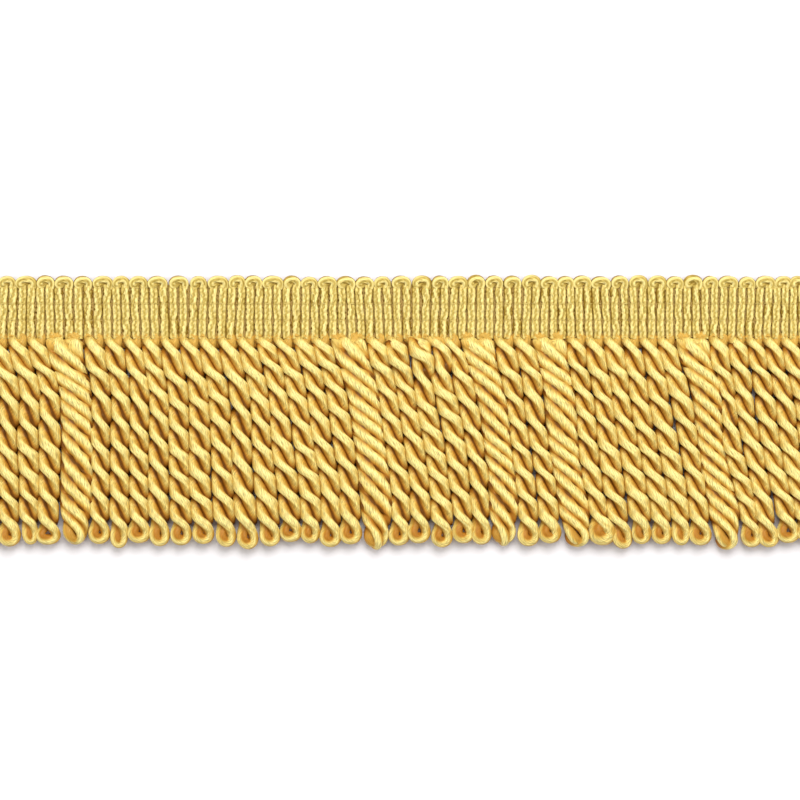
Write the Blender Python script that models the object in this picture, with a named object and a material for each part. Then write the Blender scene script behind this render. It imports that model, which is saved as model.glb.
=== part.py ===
"""Cord fringe trim: a ribbed woven heading, and a skirt of twisted cords that hang from its lower edge.

A cut length of the trim lies flat on its back. Metres, +Z up: X runs along the trim, +Y points from
the cords' tips to the looped edge of the heading, and Z is 0 on the surface that the trim lies on.
While it is modelled, X is counted from the heading's left end and Y from the heading's lower edge.
"""

import math
import random

import bpy
from mathutils import Vector

# The trim is divided into slots: two ribs of heading and one cord of skirt in each.
SLOT_COUNT = 46
FIRST_SLOT_WIDTH = 0.00462
LAST_SLOT_WIDTH = 0.00418
NOMINAL_SLOT_WIDTH = 0.0044
RIBS_PER_SLOT = 2

# Heading
HEADING_HEIGHT = 0.0150
RIB_CREST = 0.0022
RIB_VALLEY = 0.0014
STITCH_LINE = 0.0120
STITCH_HALF_WIDTH = 0.0005
LOOP_SCALLOP = 0.0007
NEAR_CREST_OF_LOOP = 0.85
FAR_CREST_OF_LOOP = 0.45
SHOULDER_SHARE = 0.28
HEIGHT_AT_LOWER_EDGE = 0.92
HEIGHT_AT_STITCHES = 0.76
HEIGHT_AT_LOOPS = 0.55

# Skirt
SKIRT_DROP = 0.0500
DROP_SPREAD = 0.0006
PHASE_SPREAD = 0.12
TURN_SPREAD = 0.025
FIRST_CROSSING = 0.0049
HALF_TURN = 0.00604
SINGLE_SECTION = (0.0035, 0.0020)
DOUBLE_SLOTS = (4, 19, 26, 30, 38)
DOUBLE_SIDE = 0.0047
DOUBLE_QUARTER_TURN = 0.0042
DOUBLE_FLATTENING = 0.72
RINGS = 30
TIP_SHARE = 0.45
TIP_ROUNDING = 0.0011
CORD_GAP = 0.0003

# Narrow strip that the cords' roots are fused into, parted from the heading
ROOT_STRIP_GAP = 0.0003
ROOT_STRIP_WIDTH = 0.0015
ROOT_STRIP_HEIGHT = 0.0024
ROOT_DEPTH = 0.0010

# How far, in millimetres, a cord strays to the right of its slot at five depths down the skirt.
DEPTHS = (0.0, 0.10, 0.25, 0.50, 0.75, 1.0)
HANG = (
    # slot, neck, quarter, half, three quarters, tip
    (2.0, 1.0, 3.0, 2.6, 2.9, 3.0),
    (4.5, 0.8, 2.9, 2.9, 3.0, 2.5),
    (7.0, 1.5, 2.9, 2.8, 2.5, 2.5),
    (10.0, 1.2, 2.9, 2.9, 3.1, 3.6),
    (13.0, 1.4, 3.2, 4.0, 4.8, 6.0),
    (16.0, 1.3, 3.1, 4.8, 6.4, 6.9),
    (19.5, 1.4, 3.7, 5.3, 6.7, 6.9),
    (22.0, 1.3, 3.1, 4.9, 6.6, 6.4),
    (24.0, 1.2, 3.1, 5.7, 7.4, 7.9),
    (26.5, 1.4, 3.1, 5.3, 6.5, 6.5),
    (29.0, 1.0, 2.5, 4.1, 5.8, 6.9),
    (33.0, 0.7, 2.2, 3.6, 5.5, 7.6),
    (36.0, 1.0, 2.2, 4.5, 6.9, 7.6),
    (38.5, 0.7, 3.3, 4.5, 7.1, 8.8),
    (41.0, 1.0, 2.6, 3.8, 6.6, 8.8),
    (45.0, 1.2, 3.3, 5.3, 7.9, 10.0),
)
MILLIMETRE = 0.001
SEED = 11

HEADING_COLOUR = (0.80, 0.60, 0.21, 1.0)
CORD_COLOUR = (0.76, 0.50, 0.13, 1.0)
YARN_ROUGHNESS = 0.42


def slot_edge(slot):
    """Distance along the trim to a slot's left edge: the slots narrow evenly from left to right."""
    narrowing = (FIRST_SLOT_WIDTH - LAST_SLOT_WIDTH) / (SLOT_COUNT - 1)
    return slot * FIRST_SLOT_WIDTH - narrowing * slot * (slot - 1) / 2


def between(knots, values, at):
    """Cubic curve through (knot, value) pairs, with the slopes of the chords on each side."""
    at = min(max(at, knots[0]), knots[-1])
    last = len(knots) - 1
    slopes = [
        (values[min(i + 1, last)] - values[max(i - 1, 0)])
        / (knots[min(i + 1, last)] - knots[max(i - 1, 0)])
        for i in range(last + 1)
    ]
    i = next(i for i in range(last) if at <= knots[i + 1])
    run = knots[i + 1] - knots[i]
    t = (at - knots[i]) / run
    return (
        (2 * t**3 - 3 * t**2 + 1) * values[i]
        + (t**3 - 2 * t**2 + t) * run * slopes[i]
        + (3 * t**2 - 2 * t**3) * values[i + 1]
        + (t**3 - t**2) * run * slopes[i + 1]
    )


def stray(slot, share):
    """How far right of its slot a cord lies at this share of the drop."""
    slots = [row[0] for row in HANG]
    column = [0.0] + [between(slots, [row[c] for row in HANG], slot) for c in range(1, len(DEPTHS))]
    return between(DEPTHS, column, share) * MILLIMETRE


def cord_list():
    """One dictionary for each cord: its slot, its width and its own small differences."""
    chance = random.Random(SEED)
    cords = []
    slot = 0
    while slot < SLOT_COUNT:
        double = slot in DOUBLE_SLOTS
        slots = 2 if double else 1
        cords.append(
            {
                "double": double,
                "middle": slot + (slots - 1) / 2,
                "root": (slot_edge(slot) + slot_edge(slot + slots)) / 2,
                "fullness": (slot_edge(slot + slots) - slot_edge(slot)) / slots / NOMINAL_SLOT_WIDTH,
                "drop": SKIRT_DROP + chance.uniform(-DROP_SPREAD, DROP_SPREAD),
                "phase": chance.uniform(-PHASE_SPREAD, PHASE_SPREAD),
                "turn": 1 + chance.uniform(-TURN_SPREAD, TURN_SPREAD),
            }
        )
        slot += slots
    return cords


def cord_middle(cord, share):
    """X of the cord's centreline at this share of its drop."""
    return cord["root"] + stray(cord["middle"], share)


def corner_radius(cord):
    """Radius of the circle through the corners of the cord's section."""
    if cord["double"]:
        return DOUBLE_SIDE * math.sqrt(0.5) * cord["fullness"]
    return math.hypot(*SINGLE_SECTION) / 2 * cord["fullness"]


def squeeze(cords, index, share):
    """Share of its full width that a cord keeps where a neighbour leaves it too little room."""
    own = corner_radius(cords[index])
    kept = 1.0
    for other in (index - 1, index + 1):
        if not 0 <= other < len(cords):
            continue
        apart = abs(cord_middle(cords[other], share) - cord_middle(cords[index], share))
        kept = min(kept, (apart - CORD_GAP) / (own + corner_radius(cords[other])))
    return kept


def section(cord, depth):
    """Four corners (across, up) of the cord's section, turned by the twist at this depth."""
    if cord["double"]:
        angle = math.pi / 4 + (depth - FIRST_CROSSING) / DOUBLE_QUARTER_TURN * math.pi / 2 * cord["turn"]
        width, thickness, flattening = DOUBLE_SIDE, DOUBLE_SIDE, DOUBLE_FLATTENING
    else:
        angle = math.pi / 2 + (depth - FIRST_CROSSING) / HALF_TURN * math.pi * cord["turn"]
        width, thickness, flattening = (*SINGLE_SECTION, 1.0)
    angle += cord["phase"]
    wide = Vector((math.sin(angle), math.cos(angle))) * width / 2
    thin = Vector((math.cos(angle), -math.sin(angle))) * thickness / 2
    corners = (wide + thin, wide - thin, -wide - thin, -wide + thin)
    return [Vector((c.x, c.y * flattening)) * cord["fullness"] for c in corners]


def new_object(name, points, faces, material):
    mesh = bpy.data.meshes.new(name)
    mesh.from_pydata(points, [], faces)
    mesh.update()
    obj = bpy.data.objects.new(name, mesh)
    bpy.context.scene.collection.objects.link(obj)
    obj.data.materials.append(material)
    return obj


def twisted_cords(cords, material):
    """Every cord as a closed four-sided bar, twisted left-handed, with a small rounded tip."""
    points = []
    faces = []
    for index, cord in enumerate(cords):
        rest_height = corner_radius(cord) * (DOUBLE_FLATTENING if cord["double"] else 1.0)
        rounded = 1 - TIP_ROUNDING / cord["drop"]
        shares = [n / (RINGS - 1) * rounded for n in range(RINGS)] + [1.0]
        first = len(points)
        for share in shares:
            depth = ROOT_DEPTH + share * (cord["drop"] - ROOT_DEPTH)
            tip = TIP_SHARE if share == 1.0 else 1.0
            kept = squeeze(cords, index, share)
            middle = Vector((cord_middle(cord, share), -depth, rest_height))
            for across, up in section(cord, depth):
                points.append(middle + tip * Vector((across * kept, 0, up)))
        faces.append(tuple(first + c for c in (3, 2, 1, 0)))
        for ring in range(len(shares) - 1):
            for side in range(4):
                near = first + ring * 4 + side
                near_next = first + ring * 4 + (side + 1) % 4
                # The diagonal of a crest bulges out and the diagonal of a groove sinks in.
                if cord["double"] or side % 2 == 1:
                    faces += [(near, near_next, near + 4), (near_next, near_next + 4, near + 4)]
                else:
                    faces += [(near, near_next, near_next + 4), (near, near_next + 4, near + 4)]
        end = first + (len(shares) - 1) * 4
        faces.append((end, end + 1, end + 2, end + 3))
    return new_object("twisted_cords", points, faces, material)


def box(name, low, high, material):
    points = [(x, y, z) for z in (low[2], high[2]) for y in (low[1], high[1]) for x in (low[0], high[0])]
    faces = [(0, 2, 3, 1), (4, 5, 7, 6), (0, 1, 5, 4), (2, 6, 7, 3), (0, 4, 6, 2), (1, 3, 7, 5)]
    return new_object(name, points, faces, material)


def make_skirt(material):
    """The cords with their roots fused into one narrow strip."""
    strip_top = -ROOT_STRIP_GAP
    skirt = box(
        "cord_skirt",
        (0.0, strip_top - ROOT_STRIP_WIDTH, 0.0),
        (slot_edge(SLOT_COUNT), strip_top, ROOT_STRIP_HEIGHT),
        material,
    )
    bars = twisted_cords(cord_list(), material)
    union = skirt.modifiers.new("fused roots", "BOOLEAN")
    union.operation = "UNION"
    union.object = bars
    bars.hide_render = True
    bars.display_type = "WIRE"
    return skirt


def heading_columns():
    """(x, crest share, scallop share) across the heading: a valley and two shoulders for each rib."""
    columns = []
    for slot in range(SLOT_COUNT):
        rib_width = (slot_edge(slot + 1) - slot_edge(slot)) / RIBS_PER_SLOT
        for rib in range(RIBS_PER_SLOT):
            start = slot_edge(slot) + rib * rib_width
            # The loops of the top edge join the ribs on the two sides of a slot's edge.
            nearest = 1.0 if rib == 0 else 0.0
            columns.append((start, 0.0, nearest))
            shoulders = (NEAR_CREST_OF_LOOP, FAR_CREST_OF_LOOP)
            left, right = shoulders if rib == 0 else reversed(shoulders)
            columns.append((start + rib_width * SHOULDER_SHARE, 1.0, left))
            columns.append((start + rib_width * (1 - SHOULDER_SHARE), 1.0, right))
    columns.append((slot_edge(SLOT_COUNT), 0.0, 1.0))
    return columns


def make_heading(material):
    """A flat-backed band with its ribs raised, a stitch groove, and a scalloped edge of loops."""
    # Y, share of the full height, and whether the row follows the scallops
    rows = (
        (0.0, HEIGHT_AT_LOWER_EDGE, 0.0),
        (STITCH_LINE - STITCH_HALF_WIDTH, 1.0, 0.0),
        (STITCH_LINE, HEIGHT_AT_STITCHES, 0.0),
        (STITCH_LINE + STITCH_HALF_WIDTH, 1.0, 0.0),
        (HEADING_HEIGHT, HEIGHT_AT_LOOPS, 1.0),
    )
    columns = heading_columns()
    count = len(columns)
    points = []
    for y, share, scalloped in rows:
        for x, crest, nearest in columns:
            height = (RIB_VALLEY + (RIB_CREST - RIB_VALLEY) * crest) * share
            points.append((x, y - LOOP_SCALLOP * (1 - nearest) * scalloped, height))
    under_low = len(points)
    points += [(x, y, 0.0) for x, y, _ in points[:count]]
    under_high = len(points)
    points += [(x, y, 0.0) for x, y, _ in points[(len(rows) - 1) * count : len(rows) * count]]
    faces = []
    for c in range(count - 1):
        for r in range(len(rows) - 1):
            a = r * count + c
            faces.append((a, a + 1, a + count + 1, a + count))
        edge = (len(rows) - 1) * count + c
        faces.append((under_low + c, under_low + c + 1, c + 1, c))
        faces.append((edge, edge + 1, under_high + c + 1, under_high + c))
        faces.append((under_high + c, under_high + c + 1, under_low + c + 1, under_low + c))
    left = [r * count for r in range(len(rows))]
    faces.append((*reversed(left), under_low, under_high)[::-1])
    right = [r * count + count - 1 for r in range(len(rows))]
    faces.append((*reversed(right), under_low + count - 1, under_high + count - 1))
    return new_object("heading", points, faces, material)


def yarn(name, colour):
    material = bpy.data.materials.new(name)
    material.use_nodes = True
    shader = material.node_tree.nodes["Principled BSDF"]
    shader.inputs["Base Color"].default_value = colour
    shader.inputs["Roughness"].default_value = YARN_ROUGHNESS
    shader.inputs["Metallic"].default_value = 0.0
    return material


def centre_on_origin():
    """Moves every piece so that the origin is at the middle of the whole part's underside."""
    bpy.context.view_layer.update()
    graph = bpy.context.evaluated_depsgraph_get()
    shown = [o for o in bpy.data.objects if not o.hide_render]
    corners = [Vector(c) for o in shown for c in o.evaluated_get(graph).bound_box]
    low = Vector([min(c[axis] for c in corners) for axis in range(3)])
    high = Vector([max(c[axis] for c in corners) for axis in range(3)])
    middle = (low + high) / 2
    for obj in bpy.data.objects:
        obj.location = (-middle.x, -middle.y, 0.0)


def main():
    for obj in list(bpy.data.objects):
        bpy.data.objects.remove(obj, do_unlink=True)
    make_heading(yarn("heading_yarn", HEADING_COLOUR))
    make_skirt(yarn("cord_yarn", CORD_COLOUR))
    centre_on_origin()


main()
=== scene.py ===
# %% [markdown]
# Cord fringe trim.
# This is the edging that an upholsterer sews to a cushion, a pelmet or the foot of an armchair. One
# satin yarn makes nearly all of it. It runs up and down across a narrow heading, turns over in small
# loops along the top edge, and below the heading it is twisted back on itself into hanging cords.
# The lesson follows that yarn: first its path, then its surface, then its shine.

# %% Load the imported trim
import random

import bpy
import numpy as np
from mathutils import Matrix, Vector


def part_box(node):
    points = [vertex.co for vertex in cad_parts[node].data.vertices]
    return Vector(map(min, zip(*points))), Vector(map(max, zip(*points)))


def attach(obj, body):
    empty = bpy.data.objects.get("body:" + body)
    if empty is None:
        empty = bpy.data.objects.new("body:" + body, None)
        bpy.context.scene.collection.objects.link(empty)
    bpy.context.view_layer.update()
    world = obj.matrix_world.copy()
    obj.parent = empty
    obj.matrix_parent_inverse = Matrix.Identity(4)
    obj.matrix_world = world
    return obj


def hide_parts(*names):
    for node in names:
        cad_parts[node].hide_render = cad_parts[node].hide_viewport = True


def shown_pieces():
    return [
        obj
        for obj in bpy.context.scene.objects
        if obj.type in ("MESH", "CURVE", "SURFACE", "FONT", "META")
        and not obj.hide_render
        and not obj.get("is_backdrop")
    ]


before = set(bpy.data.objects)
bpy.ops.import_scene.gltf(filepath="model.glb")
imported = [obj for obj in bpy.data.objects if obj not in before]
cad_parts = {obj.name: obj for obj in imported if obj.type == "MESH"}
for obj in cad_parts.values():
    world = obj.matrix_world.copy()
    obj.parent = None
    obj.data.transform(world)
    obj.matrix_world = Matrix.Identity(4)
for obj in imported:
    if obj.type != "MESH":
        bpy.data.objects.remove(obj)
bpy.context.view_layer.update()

heading_low, heading_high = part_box("heading")

# %% [markdown]
# Places along the trim.
# A trim like this repeats: two ribs of heading feed one cord of the skirt. Everything could be placed
# by hand, but a repeat is easier to keep even when one function answers where slot number n begins.
# The slots narrow a little from left to right, because the trim isn't pulled equally tight.

# %% Slots
SLOT_COUNT = 46
FIRST_SLOT_WIDTH = 0.00462
LAST_SLOT_WIDTH = 0.00418
NOMINAL_SLOT_WIDTH = 0.0044


def slot_edge(slot):
    """X of a slot's left edge: equal steps that shrink by the same small amount each time."""
    narrowing = (FIRST_SLOT_WIDTH - LAST_SLOT_WIDTH) / (SLOT_COUNT - 1)
    return heading_low.x + slot * FIRST_SLOT_WIDTH - narrowing * slot * (slot - 1) / 2


print("slots run from", round(slot_edge(0), 4), "to", round(slot_edge(SLOT_COUNT), 4))

# %% [markdown]
# The camera looks straight down, as the photographer did, through a long lens that keeps the far cords
# from leaning. The trim is longer than the picture is wide, so it leaves the frame on both sides.

# %% Camera
PICTURE_WIDTH = 0.191
PICTURE_CENTRE_ALONG = 0.1032
PICTURE_CENTRE_BELOW_HEADING = 0.0148
LENS = 120.0
SENSOR = 36.0

lens = bpy.data.cameras.new("long lens")
lens.lens = LENS
lens.sensor_width = SENSOR
camera = bpy.data.objects.new("camera", lens)
bpy.context.scene.collection.objects.link(camera)
bpy.context.scene.camera = camera
camera.location = (
    heading_low.x + PICTURE_CENTRE_ALONG,
    heading_low.y - PICTURE_CENTRE_BELOW_HEADING,
    heading_high.z + PICTURE_WIDTH * LENS / SENSOR,
)
lens.clip_start = 0.01
lens.clip_end = 20.0
print("camera height", round(camera.location.z, 3))

# %% [markdown]
# Curves.
# How a cord strays as it hangs is easiest to state as a short table and a smooth curve through it. A
# spline object would do, but a formula gives thousands of points at once as one array. This one is the
# cubic that passes through each value with the slope of the chord between its neighbours.

# %% A smooth curve through a few values
def hermite(t, start, leave, end, arrive):
    """Cubic from start to end as t goes from 0 to 1, with these slopes where it leaves and arrives."""
    return (
        (2 * t**3 - 3 * t**2 + 1) * start
        + (t**3 - 2 * t**2 + t) * leave
        + (3 * t**2 - 2 * t**3) * end
        + (t**3 - t**2) * arrive
    )


def between(knots, values, at):
    """Cubic Hermite curve through (knot, value) pairs, evaluated for a whole array of places."""
    knots = np.asarray(knots, float)
    values = np.asarray(values, float)
    at = np.clip(np.asarray(at, float), knots[0], knots[-1])
    last = len(knots) - 1
    after = np.minimum(np.arange(last + 1) + 1, last)
    before = np.maximum(np.arange(last + 1) - 1, 0)
    slopes = (values[after] - values[before]) / (knots[after] - knots[before])
    i = np.clip(np.searchsorted(knots, at, side="left") - 1, 0, last - 1)
    run = knots[i + 1] - knots[i]
    t = (at - knots[i]) / run
    return hermite(t, values[i], run * slopes[i], values[i + 1], run * slopes[i + 1])


def smooth(x):
    """Smoothstep: 0 below 0, 1 above 1, and 3x^2 - 2x^3 between."""
    x = np.clip(x, 0.0, 1.0)
    return x * x * (3 - 2 * x)


def mix(start, end, share):
    """From start to end as share goes from 0 to 1."""
    return start + (end - start) * share


print("between 0 and 1, a quarter of the way is eased to", smooth(0.25))

# %% [markdown]
# The yarn's surface.
# A yarn is a tube, but a plain tube looks like plastic. Real yarn has a few plies lying side by side,
# with a groove where two meet. So the section is a ring whose radius dips at each groove, and the ring
# is carried along the yarn's path while the plies wind slowly round it. One function makes every yarn
# here, from the thick cords to the sewing thread, and only its numbers change.
# The function also notes each point's painted shade, by how deep in a hollow, a groove or a notch it
# lies. The colour reads that later.
# The UV map can be slanted. On a cord the filaments lie straight down the cord, and cross its strands.

# %% Carrying a section along a path
YARN_UV_LENGTH = 0.01
# Painted shade: its curve on the inward side, its strength and curve in ply grooves, and where it starts,
# over what share and how strong it is below a cord's top.
HOLLOW_CURVE = 1.4
PLY_SHADE = 0.70
PLY_CURVE = 1.5
PLY_FULL_GROOVE = 0.25
SUNK_START = 0.24
SUNK_SHARE = 0.40
SUNK_SHADE = 0.93


def unit(v):
    """The same directions with length 1."""
    return v / np.linalg.norm(v, axis=-1, keepdims=True)


def upward(count):
    """As many directions as a path has points, all straight up from the surface."""
    return np.tile([0.0, 0.0, 1.0], (count, 1))


def ring_angles(around):
    """Angles of a ring's points: even steps for a number, or half a ring in degrees and its mirror."""
    if np.isscalar(around):
        return np.linspace(-np.pi, np.pi, around, endpoint=False)
    half = np.radians(around)
    return np.concatenate([-half[::-1], half[1:-1]])


def carry(
    path, outward, thick, wide, plies, groove, winding, around,
    inner=None, peak=1.0, lit=0.2, dark=-0.8, shade=None, front=0.0,
    flank=1.0, root=0.0, top=None, spin=0.0,
):
    """A closed yarn as arrays: points, faces, UVs, and painted shade by how deep each point lies in a
    hollow.

    A point is path + outward * thick * dip * cos(angle)^peak + side * wide * dip * sin(angle), where
    dip = 1 - groove * (1 - |cos(plies * (angle - winding) / 2)|). Where cos is negative, inner
    takes the place of thick, which makes the section an egg. What would go below z = 0 lies at 0,
    as yarn lies flat on a table. The UV runs along the yarn and round it, and spin slants it.

    A point gets painted shade where it faces inward, from cos = lit to cos = dark. Shade replaces that
    by three rows: degrees from outward, the painted shade there on a strand at its cord's side, and on
    a strand in front, and front says which of the two it is. A point gets painted shade too where it
    lies far below the cord's top, or where two plies meet. Flank weakens all that, and root is the
    least painted shade a point gets.
    """
    rings = len(path)

    def column(value):
        """One number, or one for each ring, as a column beside the rings' points."""
        return np.broadcast_to(np.asarray(value, float), (rings,))[:, None]

    along = unit(np.gradient(path, axis=0))
    up = unit(outward - np.sum(outward * along, axis=1, keepdims=True) * along)
    side = np.cross(along, up)
    angle = ring_angles(around)[None, :]
    around = angle.size
    crest = np.abs(np.cos(plies * (angle - column(winding)) / 2))
    dip = 1 - column(groove) * (1 - crest)
    x = column(wide) * dip * np.sin(angle)
    inner = thick if inner is None else inner
    over = column(thick) * np.clip(np.cos(angle), 0, 1) ** column(peak)
    y = np.where(np.cos(angle) > 0, over, column(inner) * np.cos(angle)) * dip
    points = path[:, None, :] + x[:, :, None] * side[:, None, :] + y[:, :, None] * up[:, None, :]
    points[:, :, 2] = np.maximum(points[:, :, 2], 0.0)

    ring = np.arange(rings - 1)[:, None]
    here = np.arange(around)[None, :]
    there = (here + 1) % around
    start = ring * around
    end = start + around
    quads = np.stack([start + here, start + there, end + there, end + here], axis=-1).reshape(-1, 4)
    length = np.concatenate([[0.0], np.cumsum(np.linalg.norm(np.diff(path, axis=0), axis=1))])
    u = np.stack([length[:-1], length[:-1], length[1:], length[1:]], axis=-1)[:, None, :]
    section = np.stack([x[rings // 2], y[rings // 2]], axis=-1)
    steps = np.linalg.norm(np.roll(section, -1, axis=0) - section, axis=1)
    share = np.concatenate([[0.0], np.cumsum(steps)]) / steps.sum()
    v = np.stack([share[:-1], share[1:], share[1:], share[:-1]], axis=-1)[None, :, :]
    u = u / YARN_UV_LENGTH
    uv = np.stack(np.broadcast_arrays(u, v + spin * u), axis=-1).reshape(-1, 2)

    # Painted shade on the section's inward side, or by the rows of shade where they are given.
    inward = np.clip((lit - np.cos(angle)) / (lit - dark), 0, 1)
    painted_shade = 1 - (1 - inward) ** HOLLOW_CURVE
    if shade is not None:
        degrees, at_side, at_front = shade
        bare = np.degrees(np.abs(angle))
        painted_shade = np.interp(bare, degrees, at_side) * (1 - column(front))
        painted_shade = painted_shade + np.interp(bare, degrees, at_front) * column(front)
    painted_shade = painted_shade * column(flank)
    # More painted shade far below the cord's top, where neighbours and the floor shade a point.
    if top is not None:
        sunk = smooth((1 - points[:, :, 2] / column(top) - SUNK_START) / SUNK_SHARE)
        painted_shade = 1 - (1 - painted_shade) * (1 - SUNK_SHADE * sunk * column(flank))
    # Root sets the least painted shade.
    painted_shade = np.maximum(painted_shade, column(root))
    # Painted shade in the grooves where two plies meet.
    grooved = np.clip(column(groove) / PLY_FULL_GROOVE, 0, 1)
    painted_shade = np.maximum(painted_shade, PLY_SHADE * grooved * (1 - crest) ** PLY_CURVE)
    return {
        "points": points.reshape(-1, 3),
        "quads": quads,
        "ends": [np.arange(around)[::-1], (rings - 1) * around + np.arange(around)],
        "uv": uv,
        "painted_shade": painted_shade.reshape(-1),
    }


print("a ring of 8 has angles", np.degrees(ring_angles(8)).round())

# %% [markdown]
# From arrays to an object.
# Several yarns that lie together are joined by shifting their face numbers and stacking their points.
# The flat caps at the two ends close each yarn, and they are hidden inside the heading or a cord.

# %% Making a piece
def new_piece(name, yarns, material, slot, *nodes):
    """One object from a list of carried yarns. It rides on the trim and stands for the solid nodes."""
    shifts = np.cumsum([0] + [len(yarn["points"]) for yarn in yarns])
    quads = np.concatenate([yarn["quads"] + shift for yarn, shift in zip(yarns, shifts)])
    ends = [(end + shift).tolist() for yarn, shift in zip(yarns, shifts) for end in yarn["ends"]]
    mesh = bpy.data.meshes.new(name)
    mesh.from_pydata(np.concatenate([yarn["points"] for yarn in yarns]), [], quads.tolist() + ends)
    uv = np.zeros((len(mesh.loops), 2))
    flat_uv = np.concatenate([yarn["uv"] for yarn in yarns])
    uv[: len(flat_uv)] = flat_uv
    mesh.uv_layers.new(name="yarn").data.foreach_set("uv", uv.ravel())
    painted_shade = mesh.attributes.new("painted_shade", "FLOAT", "POINT")
    painted_shade.data.foreach_set("value", np.concatenate([yarn["painted_shade"] for yarn in yarns]))
    mesh.polygons.foreach_set("use_smooth", [True] * len(quads) + [False] * len(ends))
    mesh.update()
    mesh.materials.append(material)
    piece = bpy.data.objects.new(name, mesh)
    bpy.context.scene.collection.objects.link(piece)
    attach(piece, "root")
    if nodes:
        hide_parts(*nodes)
    return piece


print("each piece carries its yarns' UV map, and the hollow of each point")

# %% [markdown]
# The finish and its painted shade.
# The yarn is viscose, spun from long bright filaments, so it has a silky shine and no fuzz. Light that
# falls between the cords bounces from gold to gold and comes back orange, then red-brown. The renderer
# finds part of that by itself. The rest is painted shade: a colour ramp reads how deep a point lies in
# a hollow. The filaments are far too thin to model, so a noise that is stretched along the yarn's own
# UV map gives a fine bump and small changes of tone.

# %% Yarn material
FILAMENT_SCALE = (8.0, 38.0, 1.0)
FILAMENT_DETAIL = 3.0
FILAMENT_TONE = 2.8
FILAMENT_CALM = 0.8
FILAMENT_HEIGHT = 0.0001
SHINE = 0.22
SHINE_TINT = (1.0, 0.88, 0.55, 1.0)


def satin_yarn(name, ramp_stops, roughness, filament_bump):
    """Colour from the painted-shade ramp times a filament noise, and a bump from the same noise."""
    material = bpy.data.materials.new(name)
    material.use_nodes = True
    nodes = material.node_tree.nodes
    links = material.node_tree.links
    shader = nodes["Principled BSDF"]
    shader.inputs["Roughness"].default_value = roughness
    shader.inputs["Specular IOR Level"].default_value = SHINE
    shader.inputs["Specular Tint"].default_value = SHINE_TINT

    # Each point's painted shade from the mesh: 0 keeps the yarn's own gold, 1 is the darkest hollow.
    depth = nodes.new("ShaderNodeAttribute")
    depth.attribute_name = "painted_shade"
    ramp = nodes.new("ShaderNodeValToRGB")
    ramp.color_ramp.interpolation = "EASE"
    while len(ramp.color_ramp.elements) < len(ramp_stops):
        ramp.color_ramp.elements.new(0.5)
    for element, (place, colour) in zip(ramp.color_ramp.elements, ramp_stops):
        element.position = place
        element.color = (*colour, 1.0)
    links.new(depth.outputs["Fac"], ramp.inputs["Fac"])

    place = nodes.new("ShaderNodeUVMap")
    place.uv_map = "yarn"
    stretch = nodes.new("ShaderNodeMapping")
    stretch.inputs["Scale"].default_value = FILAMENT_SCALE
    links.new(place.outputs["UV"], stretch.inputs["Vector"])
    filaments = nodes.new("ShaderNodeTexNoise")
    filaments.inputs["Scale"].default_value = 1.0
    filaments.inputs["Detail"].default_value = FILAMENT_DETAIL
    links.new(stretch.outputs["Vector"], filaments.inputs["Vector"])

    def math(operation, *values):
        """A Math node. Each value is a number or the output of another node."""
        node = nodes.new("ShaderNodeMath")
        node.operation = operation
        for socket, value in zip(node.inputs, values):
            if isinstance(value, float):
                socket.default_value = value
            else:
                links.new(value, socket)
        return node.outputs[0]

    calm = math("MULTIPLY_ADD", depth.outputs["Fac"], -FILAMENT_CALM, 1.0)
    ripple = math("MULTIPLY", math("SUBTRACT", filaments.outputs["Fac"], 0.5), calm)
    tone = math("MULTIPLY_ADD", ripple, FILAMENT_TONE, 1.0)
    toned = nodes.new("ShaderNodeVectorMath")
    toned.operation = "SCALE"
    links.new(ramp.outputs["Color"], toned.inputs[0])
    links.new(tone, toned.inputs["Scale"])
    links.new(toned.outputs["Vector"], shader.inputs["Base Color"])

    bump = nodes.new("ShaderNodeBump")
    bump.inputs["Strength"].default_value = filament_bump
    bump.inputs["Distance"].default_value = FILAMENT_HEIGHT
    links.new(ripple, bump.inputs["Height"])
    links.new(bump.outputs["Normal"], shader.inputs["Normal"])
    return material


# Painted shade: the yarn's own gold at 0, then the orange, red-brown and near black of deeper hollows.
CORD_SHADE_RAMP = (
    (0.0, (0.84, 0.70, 0.26)),
    (0.28, (0.67, 0.48, 0.125)),
    (0.58, (0.56, 0.315, 0.052)),
    (0.84, (0.40, 0.155, 0.015)),
    (0.97, (0.13, 0.042, 0.003)),
)
# Painted shade for the heading: its own gold at 0, then the browns of its grooves and sides.
HEADING_SHADE_RAMP = (
    (0.0, (0.82, 0.675, 0.25)),
    (0.35, (0.53, 0.385, 0.09)),
    (0.7, (0.31, 0.185, 0.022)),
    (1.0, (0.22, 0.11, 0.008)),
)
cord_satin_and_shade = satin_yarn("satin cord yarn", CORD_SHADE_RAMP, roughness=0.32, filament_bump=0.8)
heading_satin_and_shade = satin_yarn("satin heading yarn", HEADING_SHADE_RAMP, roughness=0.42, filament_bump=0.5)
thread_satin_and_shade = satin_yarn("binding thread", HEADING_SHADE_RAMP, roughness=0.6, filament_bump=0.2)
print("materials", [m.name for m in (cord_satin_and_shade, heading_satin_and_shade, thread_satin_and_shade)])

# %% [markdown]
# The ribs of the heading.
# Each rib is the yarn crossing the heading once. Four fine threads bind it down, and it swells between
# them, so its sides and the groove between its two upper plies run in soft waves. A displaced flat
# sheet could show that from above. Real round yarns are used instead, because the low side views and
# the shadows between the ribs need them.

# %% Heading ribs
RIB_HALF_WIDTH = 0.00117
RIB_HALF_THICK = 0.00104
RIB_TOP = 0.0131
RIB_BOTTOM = -0.0003
RIB_STEP = 0.00042
RIB_PLIES = 4
RIB_RING = 24
RIB_GROOVE = (0.28, 0.45)
RIB_LIT = 0.80
RIB_DARK = 0.20
BINDING_ROWS = (0.0003, 0.0042, 0.0082, 0.0121)
BINDING_PITCH = 0.0040
PINCH = 0.09
PINCH_LENGTH = 0.00045
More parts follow.
